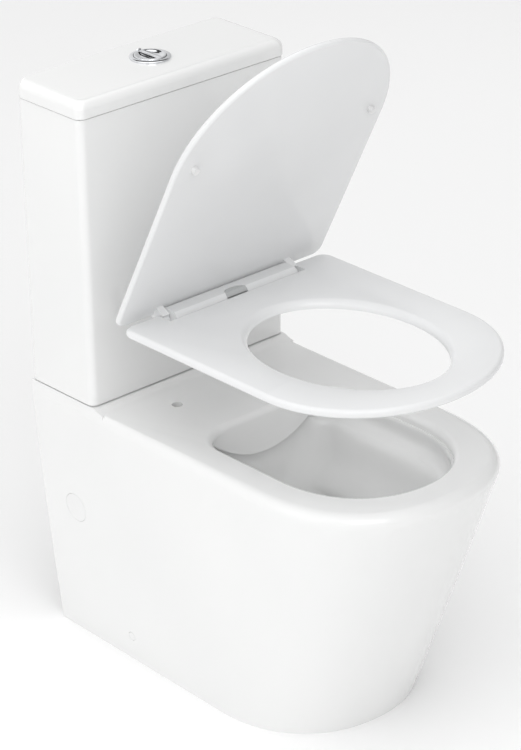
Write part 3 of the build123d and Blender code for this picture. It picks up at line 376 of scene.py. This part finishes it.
FINISHES: dict[Slot, Finish] = {
    Slot.CERAMIC: Glaze(),
    Slot.SEAT: MouldedPlastic(
        "seat_gloss", (0.755, 0.76, 0.765), (0.775, 0.78, 0.785), (0.12, 0.18)
    ),
    Slot.HINGE: MouldedPlastic(
        "hinge_gloss", (0.75, 0.755, 0.76), (0.775, 0.78, 0.785), (0.2, 0.28)
    ),
    Slot.BUFFER: MouldedPlastic(
        "buffer_soft", (0.74, 0.74, 0.74), (0.79, 0.79, 0.79), (0.4, 0.5)
    ),
    Slot.RELEASE: MouldedPlastic(
        "release_grey", (0.42, 0.43, 0.43), (0.5, 0.51, 0.51), (0.35, 0.5)
    ),
    Slot.CHROME: Metal(
        "polished_chrome", (0.72, 0.73, 0.75), (0.80, 0.81, 0.83), (0.03, 0.09)
    ),
    Slot.STEEL: Metal(
        "stainless", (0.48, 0.48, 0.49), (0.62, 0.62, 0.63), (0.22, 0.38), (1, 1, 9)
    ),
    Slot.BRASS: Metal(
        "turned_brass", (0.62, 0.44, 0.18), (0.75, 0.56, 0.26), (0.2, 0.35), (1, 1, 7)
    ),
    Slot.RUBBER: Rubber(
        "black_rubber", (0.012, 0.012, 0.013), (0.03, 0.03, 0.031)
    ),
    Slot.VALVE_WHITE: MouldedPlastic(
        "valve_white", (0.66, 0.66, 0.64), (0.72, 0.72, 0.7), (0.35, 0.45)
    ),
    Slot.VALVE_BLUE: MouldedPlastic(
        "valve_blue", (0.03, 0.12, 0.34), (0.05, 0.17, 0.42), (0.3, 0.42)
    ),
    Slot.CAP: MouldedPlastic(
        "cover_gloss", (0.79, 0.79, 0.79), (0.82, 0.82, 0.82), (0.15, 0.22)
    ),
}


class Paintbox:
    """Keeps one material for each slot and puts it on pieces."""

    def __init__(self) -> None:
        """Builds every finish once."""
        self.materials = {slot: finish.build() for slot, finish in FINISHES.items()}

    def dress(self, piece: bpy.types.Object, slot: Slot) -> None:
        """Gives a piece the one finish of its slot.

        Args:
            piece: the mesh object.
            slot: the record's slot.
        """
        piece.data.materials.clear()
        piece.data.materials.append(self.materials[slot])

    def dress_cad_nodes(self) -> None:
        """Gives every CAD node the finish of its slot in the record."""
        for part in frame["record"]["subparts"]:
            node = frame["nodes"][part["node"]]
            node.data.materials.clear()
            node.data.materials.append(self.materials[Slot(part["material_slot"])])


# ---- mesh making ----------------------------------------------------------------------
class Forge:
    """Makes plain meshes in place and hands them to the scene.

    Edges that turn more than a SHARP angle, in degrees, stay sharp. Vertices closer than a WELD
    distance, in metres, become one.
    """

    SHELL_SHARP = 32.0
    SHELL_WELD = 0.00001
    LATHE_STEPS = 96
    LATHE_SHARP = 24.0
    DISC_ROWS = 40
    DISC_COLUMNS = 20
    DISC_SHARP = 40.0
    DISC_WELD = 0.00002
    DOME_SEGMENTS = 32
    DOME_RINGS = 20
    DOME_SHARP = 60.0

    def __init__(self, paint: Paintbox) -> None:
        """Keeps the paintbox.

        Args:
            paint: the materials by slot.
        """
        self.paint = paint

    def show(
        self, mesh: bpy.types.Mesh, name: str, body: Body, slot: Slot, *stands_for: str
    ) -> bpy.types.Object:
        """Puts a mesh in the scene as one piece.

        Args:
            mesh: the mesh, already in the frame's coordinates.
            name: the piece's name.
            body: the body that it rides on.
            slot: the finish that it takes.
            stands_for: the CAD nodes that it replaces.

        Returns:
            The new object.
        """
        piece = bpy.data.objects.new(name, mesh)
        bpy.context.scene.collection.objects.link(piece)
        self.paint.dress(piece, slot)
        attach(piece, body.value)
        if stands_for:
            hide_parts(*stands_for)
        log.info("%s: %d faces, rides on %s", name, len(mesh.polygons), body.value)
        return piece

    def finish_mesh(self, form: bmesh.types.BMesh, name: str, sharp: float) -> bpy.types.Mesh:
        """Turns a bmesh into a smooth mesh with outward normals.

        Args:
            form: the bmesh; it is freed.
            name: the mesh's name.
            sharp: edges that turn more than this many degrees stay sharp.

        Returns:
            The mesh.
        """
        bmesh.ops.recalc_face_normals(form, faces=form.faces[:])
        limit = math.radians(sharp)
        for face in form.faces:
            face.smooth = True
        for edge in form.edges:
            edge.smooth = len(edge.link_faces) == 2 and edge.calc_face_angle(0.0) < limit
        mesh = bpy.data.meshes.new(name)
        form.to_mesh(mesh)
        form.free()
        return mesh

    def lathe(
        self, profile: Sequence[tuple[float, float]], x: float, y: float, name: str
    ) -> bpy.types.Mesh:
        """Turns a closed profile about an upright axis.

        Args:
            profile: radius and height of each corner in millimetres, in order round the section.
            x: the axis's place along X in millimetres.
            y: its place along Y in millimetres.
            name: the mesh's name.

        Returns:
            The turned mesh.
        """
        steps = self.LATHE_STEPS
        form = bmesh.new()
        rings = []
        for step in range(steps):
            turn = 2 * math.pi * step / steps
            along, aside = math.cos(turn), math.sin(turn)
            ring = [
                form.verts.new(((x + r * along) * MM, (y + r * aside) * MM, z * MM))
                for r, z in profile
            ]
            rings.append(ring)
        for step in range(steps):
            near, far = rings[step], rings[(step + 1) % steps]
            for i in range(len(profile)):
                j = (i + 1) % len(profile)
                form.faces.new((near[i], far[i], far[j], near[j]))
        return self.finish_mesh(form, name, self.LATHE_SHARP)

    def half_disc(self, button: "ButtonForm", side: int, name: str) -> bpy.types.Mesh:
        """A dished half disc, its straight side next to the other button.

        Args:
            button: the pair's sizes.
            side: 1 for the button on +X, -1 for the other.
            name: the mesh's name.

        Returns:
            The button's mesh.
        """
        form = bmesh.new()
        rows, columns = self.DISC_ROWS, self.DISC_COLUMNS
        reach = math.sqrt(button.radius ** 2 - button.split ** 2)
        top, low = [], []
        for i in range(rows + 1):
            across = reach * math.sin(math.pi * (i / rows - 0.5))
            edge = math.sqrt(max(button.radius ** 2 - across ** 2, 0.0))
            width = max(edge, button.split) - button.split
            top_row, low_row = [], []
            for j in range(columns + 1):
                out = button.split + width * math.sin(math.pi / 2 * j / columns)
                place = (side * out * MM, (button.y + across) * MM)
                height = button.height(out, across)
                top_row.append(form.verts.new((*place, height * MM)))
                low_row.append(form.verts.new((*place, button.low * MM)))
            top.append(top_row)
            low.append(low_row)
        for grid in (top, low):
            for i in range(rows):
                for j in range(columns):
                    here, there = grid[i], grid[i + 1]
                    form.faces.new((here[j], there[j], there[j + 1], here[j + 1]))
        outline = [(i, 0) for i in range(rows)]
        outline += [(rows, j) for j in range(columns)]
        outline += [(i, columns) for i in range(rows, 0, -1)]
        outline += [(0, j) for j in range(columns, 0, -1)]
        for (i, j), (m, n) in zip(outline, outline[1:] + outline[:1]):
            form.faces.new((top[i][j], top[m][n], low[m][n], low[i][j]))
        bmesh.ops.remove_doubles(form, verts=form.verts[:], dist=self.DISC_WELD)
        return self.finish_mesh(form, name, self.DISC_SHARP)

    def dome(self, centre: Triple, half: Triple, name: str) -> bpy.types.Mesh:
        """An ellipsoid.

        Args:
            centre: its centre in millimetres.
            half: its half sizes along X, Y and Z in millimetres.
            name: the mesh's name.

        Returns:
            The mesh.
        """
        form = bmesh.new()
        bmesh.ops.create_uvsphere(
            form, u_segments=self.DOME_SEGMENTS, v_segments=self.DOME_RINGS, radius=1.0
        )
        for vert in form.verts:
            vert.co = Vector([(c + h * v) * MM for c, h, v in zip(centre, half, vert.co)])
        return self.finish_mesh(form, name, self.DOME_SHARP)

    def polish(self, node: str, body: Body, slot: Slot) -> bpy.types.Object:
        """Replaces a CAD node by a welded copy that shades smoothly over its rounded edges.

        Args:
            node: the CAD node.
            body: the body that it rides on.
            slot: its finish.

        Returns:
            The new piece.
        """
        source = frame["nodes"][node]
        form = bmesh.new()
        form.from_mesh(source.data)
        form.transform(source.matrix_world)
        bmesh.ops.remove_doubles(form, verts=form.verts[:], dist=self.SHELL_WELD)
        mesh = self.finish_mesh(form, f"{node}_shell", self.SHELL_SHARP)
        return self.show(mesh, f"{node}_shell", body, slot, node)


@dataclass(frozen=True)
class ButtonForm:
    """Sizes of the pair of flush buttons in millimetres.

    Attributes:
        y: the pair's centre.
        radius: outer radius.
        split: from the centre plane to the straight side.
        top: height of the rim.
        low: height of the underside.
        dish: how deep each button's dish is.
        dish_reach: share of the radius over which the dish deepens.
        edge: radius of the rounded edge.
    """

    y: float = VALVES_Y
    radius: float = 21.8
    split: float = 0.4
    top: float = 822.0
    low: float = 810.5
    dish: float = 2.4
    dish_reach: float = 0.42
    edge: float = 1.2

    def height(self, out: float, across: float) -> float:
        """Height of the upper face at a place.

        Args:
            out: distance from the centre plane.
            across: distance from the pair's centre along Y.

        Returns:
            The height in millimetres.
        """
        from_rim = self.radius - math.hypot(out, across)
        inside = min(from_rim, out - self.split)
        rounded = max(self.edge - inside, 0.0)
        fall = self.edge - math.sqrt(max(self.edge ** 2 - rounded ** 2, 0.0))
        reach = min(max(inside - self.edge, 0.0) / (self.dish_reach * self.radius), 1.0)
        return self.top - fall - self.dish * math.sin(math.pi / 2 * reach) ** 2


# ---- what repeats ---------------------------------------------------------------------
@dataclass(frozen=True)
class Winding:
    """A thread or a stack of ribs, repeated in rows and columns. Millimetres.

    Attributes:
        name: the piece's name.
        body: the body that it rides on.
        slot: its finish.
        start: centre of the lowest turn of the first one.
        radius: radius of the wire's centre line.
        section: radius of the wire.
        turns: turns of one winding.
        height: rise of one winding.
        rows: windings one above another.
        rise: distance between them.
        columns: copies side by side.
        across: distance between them along X.
    """

    name: str
    body: Body
    slot: Slot
    start: Triple
    radius: float
    section: float
    turns: float = 1.0
    height: float = 0.0
    rows: int = 1
    rise: float = 0.0
    columns: int = 1
    across: float = 0.0


class Winder:
    """Builds windings with one Geometry Nodes group.

    Attributes:
        FLOATS: the group's number inputs.
        VECTORS: its vector inputs.
        COUNTS: its whole-number inputs.
        TURN_STEPS: straight pieces in one turn of the wire.
        WIRE_SIDES: sides of the wire's section.
    """

    FLOATS = ("Turns", "Height", "Radius", "Section")
    VECTORS = ("Start", "Rise", "Across")
    COUNTS = ("Rows", "Columns")
    TURN_STEPS = 28
    WIRE_SIDES = 6

    def __init__(self, forge: Forge) -> None:
        """Makes the node group.

        Args:
            forge: shows the finished pieces.
        """
        self.forge = forge
        self.group = bpy.data.node_groups.new("repeated_winding", "GeometryNodeTree")
        self.keys: dict[str, str] = {}
        kinds = {name: "NodeSocketFloat" for name in self.FLOATS}
        kinds.update({name: "NodeSocketVector" for name in self.VECTORS})
        kinds.update({name: "NodeSocketInt" for name in self.COUNTS})
        kinds["Material"] = "NodeSocketMaterial"
        for name, kind in kinds.items():
            socket = self.group.interface.new_socket(name, in_out="INPUT", socket_type=kind)
            self.keys[name] = socket.identifier
        self.group.interface.new_socket(
            "Geometry", in_out="OUTPUT", socket_type="NodeSocketGeometry"
        )
        self.wire_up()

    def add(self, kind: str, **joined: tuple[bpy.types.Node, str]) -> bpy.types.Node:
        """Adds a node and joins its inputs.

        Args:
            kind: the node's type.
            joined: source node and output by input name, with _ for a space.

        Returns:
            The node.
        """
        node = self.group.nodes.new(kind)
        for name, (source, out) in joined.items():
            self.group.links.new(source.outputs[out], node.inputs[name.replace("_", " ")])
        return node

    def wire_up(self) -> None:
        """Lays out the group: a wound wire, set out in rows, then in columns."""
        given = self.group.nodes.new("NodeGroupInput")
        path = self.add(
            "GeometryNodeCurveSpiral", Rotations=(given, "Turns"), Height=(given, "Height"),
            Start_Radius=(given, "Radius"), End_Radius=(given, "Radius"),
        )
        set_inputs(path, Resolution=self.TURN_STEPS)
        section = self.add("GeometryNodeCurvePrimitiveCircle", Radius=(given, "Section"))
        set_inputs(section, Resolution=self.WIRE_SIDES)
        wire = self.add(
            "GeometryNodeCurveToMesh", Curve=(path, "Curve"), Profile_Curve=(section, "Curve")
        )
        set_inputs(wire, Fill_Caps=True)
        row = self.add(
            "GeometryNodeMeshLine", Count=(given, "Rows"), Start_Location=(given, "Start"),
            Offset=(given, "Rise"),
        )
        stack = self.add(
            "GeometryNodeInstanceOnPoints", Points=(row, "Mesh"), Instance=(wire, "Mesh")
        )
        column = self.add(
            "GeometryNodeMeshLine", Count=(given, "Columns"), Offset=(given, "Across")
        )
        both = self.add(
            "GeometryNodeInstanceOnPoints", Points=(column, "Mesh"), Instance=(stack, "Instances")
        )
        real = self.add("GeometryNodeRealizeInstances", Geometry=(both, "Instances"))
        dressed = self.add(
            "GeometryNodeSetMaterial", Geometry=(real, "Geometry"), Material=(given, "Material")
        )
        self.add("NodeGroupOutput", Geometry=(dressed, "Geometry"))

    def wind(self, winding: Winding) -> bpy.types.Object:
        """Builds one winding as a plain mesh.

        Args:
            winding: what to wind.

        Returns:
            The piece.
        """
        host_name = winding.name + "_host"
        host = bpy.data.objects.new(host_name, bpy.data.meshes.new(host_name))
        bpy.context.scene.collection.objects.link(host)
        modifier = host.modifiers.new("winding", "NODES")
        modifier.node_group = self.group
        values = {
            "Turns": winding.turns, "Height": winding.height * MM,
            "Radius": winding.radius * MM, "Section": winding.section * MM,
            "Start": [v * MM for v in winding.start], "Rise": [0.0, 0.0, winding.rise * MM],
            "Across": [winding.across * MM, 0.0, 0.0],
            "Rows": winding.rows, "Columns": winding.columns,
            "Material": self.forge.paint.materials[winding.slot],
        }
        for name, value in values.items():
            modifier[self.keys[name]] = value
        graph = bpy.context.evaluated_depsgraph_get()
        mesh = bpy.data.meshes.new_from_object(host.evaluated_get(graph))
        bpy.data.objects.remove(host)
        for face in mesh.polygons:
            face.use_smooth = True
        return self.forge.show(mesh, winding.name, winding.body, winding.slot)


BOLT_X = 72.0    # the cistern bolts stand at minus and plus this
POST_X = 77.5    # and the seat's mounting posts at this
POST_Y = 129.0
INLET_X = 132.0  # the fill valve's axis
ROD_X = 11.0     # the two flush rods stand at minus and plus this

WINDINGS = (
    Winding("bolt_threads", Body.FIXED, Slot.STEEL, (-BOLT_X, 262.0, 324.0), 3.85, 0.35,
            turns=26, height=33, columns=2, across=2 * BOLT_X),
    Winding("post_threads", Body.FIXINGS, Slot.STEEL, (-POST_X, POST_Y, 463.0), 3.35, 0.3,
            turns=9, height=10, columns=2, across=2 * POST_X),
    Winding("bush_ribs", Body.FIXINGS, Slot.RUBBER, (-POST_X, POST_Y, 477.5), 6.7, 0.65,
            rows=10, rise=3.6, columns=2, across=2 * POST_X),
    Winding("inlet_threads", Body.FIXED, Slot.VALVE_WHITE, (INLET_X, VALVES_Y, 343.0), 10.2, 0.5,
            turns=18, height=32),
    Winding("full_rod_threads", Body.FULL_BUTTON, Slot.VALVE_WHITE, (-ROD_X, VALVES_Y, 747.0),
            2.4, 0.25, turns=32, height=40),
    Winding("half_rod_threads", Body.HALF_BUTTON, Slot.VALVE_WHITE, (ROD_X, VALVES_Y, 747.0),
            2.4, 0.25, turns=32, height=40),
    Winding("tower_bands", Body.FIXED, Slot.VALVE_WHITE, (0.0, VALVES_Y, 482.0), 34.0, 0.9,
            rows=8, rise=19.0),
    Winding("sleeve_bands", Body.FIXED, Slot.VALVE_WHITE, (INLET_X, VALVES_Y, 440.0), 13.0, 0.6,
            rows=9, rise=24.0),
    Winding("bezel_threads", Body.COVER, Slot.CHROME, (0.0, VALVES_Y, 791.5), 23.9, 0.45,
            turns=4, height=6),
)

# Radius and height of the bezel's corners: its flange, its threaded sleeve and its floor.
BEZEL_PROFILE = (
    (28.0, 817.5), (28.0, 819.3), (27.8, 819.8), (27.3, 820.1), (25.4, 820.5), (23.4, 820.9),
    (22.8, 820.9), (22.4, 820.6), (22.3, 820.0), (22.3, 792.5), (14.5, 792.5), (14.5, 789.5),
    (24.0, 789.5), (24.0, 817.5),
)
TAB_CENTRE = (1.5, VALVES_Y + 24.6, 821.2)
TAB_HALF = (4.2, 1.7, 2.2)

# Side of the pair, body, name of the piece and the CAD node that it replaces.
BUTTONS = (
    (-1, Body.FULL_BUTTON, "full_button_cap", "full_flush_button"),
    (1, Body.HALF_BUTTON, "half_button_cap", "half_flush_button"),
)

SHELLS = (
    ("pan", Body.FIXED, Slot.CERAMIC),
    ("cistern_tank", Body.FIXED, Slot.CERAMIC),
    ("cistern_lid", Body.COVER, Slot.CERAMIC),
    ("seat_ring", Body.RING, Slot.SEAT),
    ("seat_lid", Body.LID, Slot.SEAT),
    ("hinge_bar", Body.HINGE, Slot.HINGE),
)


def make_pieces(paint: Paintbox) -> None:
    """Makes every Blender piece.

    Args:
        paint: the materials by slot.
    """
    forge = Forge(paint)
    for node, body, slot in SHELLS:
        forge.polish(node, body, slot)
    pair = ButtonForm()
    bezel = forge.lathe(BEZEL_PROFILE, 0.0, pair.y, "bezel_collar")
    forge.show(bezel, "bezel_collar", Body.COVER, Slot.CHROME, "button_bezel")
    tab = forge.dome(TAB_CENTRE, TAB_HALF, "bezel_tab")
    forge.show(tab, "bezel_tab", Body.COVER, Slot.CHROME)
    for side, body, name, node in BUTTONS:
        forge.show(forge.half_disc(pair, side, name), name, body, Slot.CHROME, node)
    winder = Winder(forge)
    for winding in WINDINGS:
        winder.wind(winding)


# ---- studio ---------------------------------------------------------------------------
@dataclass(frozen=True)
class SoftLight:
    """A square area light that faces the object.

    Attributes:
        name: the light's name.
        azimuth: where it stands, in degrees as for the camera.
        elevation: how high, in degrees.
        distance: metres from the object.
        size: side of the square in metres.
        power: watts.
    """

    name: str
    azimuth: float
    elevation: float
    distance: float
    size: float
    power: float


@dataclass(frozen=True)
class Studio:
    """Pale floor and surroundings, soft lights, a dark card and the camera.

    Attributes:
        azimuth: the camera's turn about the object in degrees, negative to its left.
        elevation: the camera's height angle in degrees.
        roll: the camera's roll in degrees.
        distance: metres from the camera to its target.
        target: the point that the camera looks at.
        lens: focal length in millimetres.
    """

    azimuth: float = -42.384
    elevation: float = 25.56
    roll: float = -0.631
    distance: float = 4.214
    target: Triple = (-0.023, 0.023, 0.442)
    lens: float = 153.9

    SENSOR_WIDTH = 36.0
    CLIP_END = 60.0
    LIGHTS = (
        SoftLight("key", -90, 35, 3.2, 2.4, 10),
        SoftLight("top", 150, 80, 3.0, 3.0, 17),
        SoftLight("front", -32, 40, 3.3, 2.0, 24),
    )
    LIGHTS_AIM = (0, 0, 0.45)
    DIM_SIDE = (0.94, -0.34, 0.0)
    FLOOR_HALF = 14.0
    CARD_AIM = (0, 0.25, 0.82)
    CARD_AZIMUTH = 138.0
    CARD_ELEVATION = 44.0
    CARD_DISTANCE = 1.5
    CARD_HALF = (0.5, 0.22)

    def back_vector(self, azimuth: float, elevation: float) -> Vector:
        """The direction from the object to a viewer.

        Args:
            azimuth: turn in degrees; 0 is straight in front.
            elevation: height angle in degrees.

        Returns:
            A unit vector.
        """
        a = math.radians(azimuth)
        e = math.radians(elevation)
        return Vector((math.sin(a) * math.cos(e), -math.cos(a) * math.cos(e), math.sin(e)))

    def add_camera(self) -> None:
        """Places the camera and makes it the scene's own."""
        back = self.back_vector(self.azimuth, self.elevation)
        right = (-back).cross(Vector((0, 0, 1))).normalized()
        up = right.cross(-back).normalized()
        r = math.radians(self.roll)
        turned_right = right * math.cos(r) + up * math.sin(r)
        turned_up = up * math.cos(r) - right * math.sin(r)
        data = bpy.data.cameras.new("camera")
        data.lens = self.lens
        data.sensor_width = self.SENSOR_WIDTH
        data.clip_end = self.CLIP_END
        camera = bpy.data.objects.new("camera", data)
        place = Matrix((turned_right, turned_up, back)).transposed().to_4x4()
        place.translation = Vector(self.target) + back * self.distance
        camera.matrix_world = place
        bpy.context.scene.collection.objects.link(camera)
        bpy.context.scene.camera = camera

    def add_lights(self) -> None:
        """Adds the soft lights, each turned to the object."""
        for soft in self.LIGHTS:
            data = bpy.data.lights.new(soft.name, "AREA")
            data.shape = "SQUARE"
            data.size = soft.size
            data.energy = soft.power
            light = bpy.data.objects.new(soft.name, data)
            back = self.back_vector(soft.azimuth, soft.elevation)
            light.location = Vector(self.LIGHTS_AIM) + back * soft.distance
            light.rotation_euler = back.to_track_quat("Z", "Y").to_euler()
            bpy.context.scene.collection.objects.link(light)

    def add_world(self) -> None:
        """Adds pale surroundings that are dimmer low on the right."""
        world = bpy.data.worlds.new("surroundings")
        world.use_nodes = True
        tree = world.node_tree
        background = tree.nodes["Background"]
        set_inputs(background, Color=(1.0, 1.0, 1.0, 1.0))
        coords = tree.nodes.new("ShaderNodeTexCoord")
        aside = tree.nodes.new("ShaderNodeVectorMath")
        aside.operation = "DOT_PRODUCT"
        aside.inputs[1].default_value = self.DIM_SIDE
        tree.links.new(coords.outputs["Generated"], aside.inputs[0])
        fade = tree.nodes.new("ShaderNodeMapRange")
        set_inputs(fade, From_Min=0.1, From_Max=0.9, To_Min=0.94, To_Max=0.35)
        tree.links.new(aside.outputs["Value"], fade.inputs["Value"])
        tree.links.new(fade.outputs["Result"], background.inputs["Strength"])
        bpy.context.scene.world = world
        bpy.context.scene.view_settings.view_transform = "Standard"

    def add_sheet(
        self, name: str, corners: Sequence[Sequence[float]], material: bpy.types.Material
    ) -> bpy.types.Object:
        """Adds one flat four-sided sheet.

        Args:
            name: the sheet's name.
            corners: its four corners in metres, in order.
            material: its material.

        Returns:
            The sheet.
        """
        mesh = bpy.data.meshes.new(name)
        mesh.from_pydata(corners, [], [(0, 1, 2, 3)])
        mesh.materials.append(material)
        sheet = bpy.data.objects.new(name, mesh)
        bpy.context.scene.collection.objects.link(sheet)
        return sheet

    def add_floor(self) -> None:
        """Adds a plain pale floor."""
        bench = NodeBench("pale_floor")
        bench.tint(bench.noise(0.6, 2.0), (0.955, 0.955, 0.955), (0.965, 0.965, 0.965))
        bench.set(Roughness=0.9, Specular_IOR_Level=0.1)
        half = self.FLOOR_HALF
        corners = [(-half, -half, 0), (half, -half, 0), (half, half, 0), (-half, half, 0)]
        floor = self.add_sheet("floor", corners, bench.material)

    def add_card(self) -> None:
        """Hangs a small dark card behind and above, to darken what the chrome mirrors."""
        bench = NodeBench("dark_card")
        bench.tint(bench.noise(2.0, 2.0), (0.008, 0.008, 0.009), (0.014, 0.014, 0.015))
        bench.set(Roughness=0.8)
        back = self.back_vector(self.CARD_AZIMUTH, self.CARD_ELEVATION)
        turn = back.to_track_quat("Z", "Y").to_matrix()
        centre = Vector(self.CARD_AIM) + back * self.CARD_DISTANCE
        wide, high = self.CARD_HALF
        flat = ((-wide, -high, 0), (wide, -high, 0), (wide, high, 0), (-wide, high, 0))
        corners = [centre + turn @ Vector(v) for v in flat]
        card = self.add_sheet("dark_card", corners, bench.material)

    def build(self) -> None:
        """Sets the whole studio up."""
        self.add_camera()
        self.add_lights()
        self.add_world()
        self.add_floor()
        self.add_card()


def main() -> None:
    """Builds the studio and every piece."""
    logging.basicConfig(level=logging.INFO, format="%(name)s: %(message)s")
    Studio().build()
    paint = Paintbox()
    paint.dress_cad_nodes()
    make_pieces(paint)


if __name__ == "__main__":
    main()
